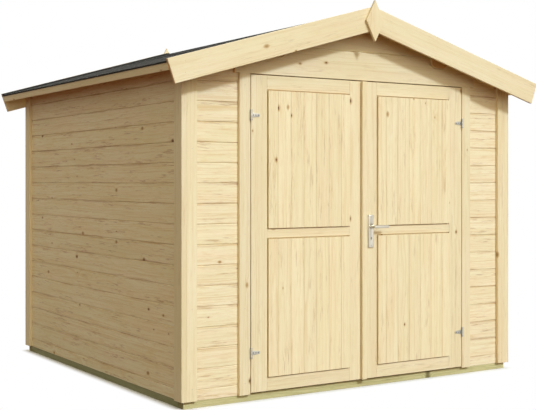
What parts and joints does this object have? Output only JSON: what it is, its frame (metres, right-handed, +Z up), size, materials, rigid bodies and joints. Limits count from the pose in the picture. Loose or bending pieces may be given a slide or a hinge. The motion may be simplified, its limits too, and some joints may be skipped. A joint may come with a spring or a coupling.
{
  "type": "timber garden shed",
  "caption": "Square timber garden shed with a low ridge roof, overhanging eaves, bargeboards and finials, and a pair of framed doors with a lever handle in its front gable.",
  "frame": {"origin": "on the ground, in the middle of the shed's bounding box seen from above", "axes": "+X to the right seen from the front, +Y from the front (doors) to the back, +Z up; the ridge runs along Y"},
  "size_m": [2.84, 2.816, 2.4],
  "materials": {
    "spruce_cladding": "planed, untreated",
    "spruce_trim": "planed, untreated",
    "spruce_framing": "planed, untreated",
    "impregnated_timber": "pressure-treated, green tint",
    "roofing_felt": "mineral-surfaced bitumen felt",
    "zinc_plated_steel": "bright zinc",
    "satin_aluminium": "satin"
  },
  "bodies": {
    "shed": {"end_bearers": "impregnated_timber", "side_bearers": "impregnated_timber", "floor_joists": "impregnated_timber", "floor": "spruce_framing", "left_wall": "spruce_cladding", "right_wall": "spruce_cladding", "back_wall": "spruce_cladding", "front_gable": "spruce_cladding", "front_wall_left": "spruce_cladding", "front_wall_right": "spruce_cladding", "wall_plates": "spruce_framing", "wall_studs": "spruce_framing", "door_posts": "spruce_framing", "door_head": "spruce_framing", "corner_angles": "spruce_trim", "corner_strips": "spruce_trim", "door_jambs": "spruce_trim", "door_header": "spruce_trim", "roof_boards_left": "spruce_framing", "roof_boards_right": "spruce_framing", "felt_left": "roofing_felt", "felt_right": "roofing_felt", "ridge_felt": "roofing_felt", "eave_fascias": "spruce_trim", "bargeboards_left": "spruce_trim", "bargeboards_right": "spruce_trim", "finials": "spruce_trim", "purlins": "spruce_framing", "ridge_purlin": "spruce_framing", "hinge_wings": "zinc_plated_steel"},
    "left_door": {"door_left_frame": "spruce_trim", "door_left_panels": "spruce_cladding", "hinge_straps_left": "zinc_plated_steel"},
    "right_door": {"door_right_frame": "spruce_trim", "door_right_panels": "spruce_cladding", "hinge_straps_right": "zinc_plated_steel", "astragal": "spruce_trim", "handle_plates": "satin_aluminium"},
    "lever": {"lever_outside": "satin_aluminium", "lever_inside": "satin_aluminium"}
  },
  "joints": [
    {"name": "right_door_hinge", "type": "hinge", "parent": "shed", "child": "right_door", "pos_m": [0.83825, -1.2775, 0.979], "axis": [0, 0, 1], "range_deg": [0, 120]},
    {"name": "left_door_hinge", "type": "hinge", "parent": "shed", "child": "left_door", "pos_m": [-0.81425, -1.2775, 0.979], "axis": [0, 0, -1], "range_deg": [0, 120]},
    {"name": "lever_pivot", "type": "hinge", "parent": "right_door", "child": "lever", "pos_m": [0.06875, -1.25, 1.003], "axis": [0, 1, 0], "range_deg": [0, 40], "stiffness_Nm_per_rad": 1.2, "springref_deg": -34.38}
  ],
  "couplings": [
    {"joint": "left_door_hinge", "follows": "right_door_hinge", "ratio": 1}
  ]
}
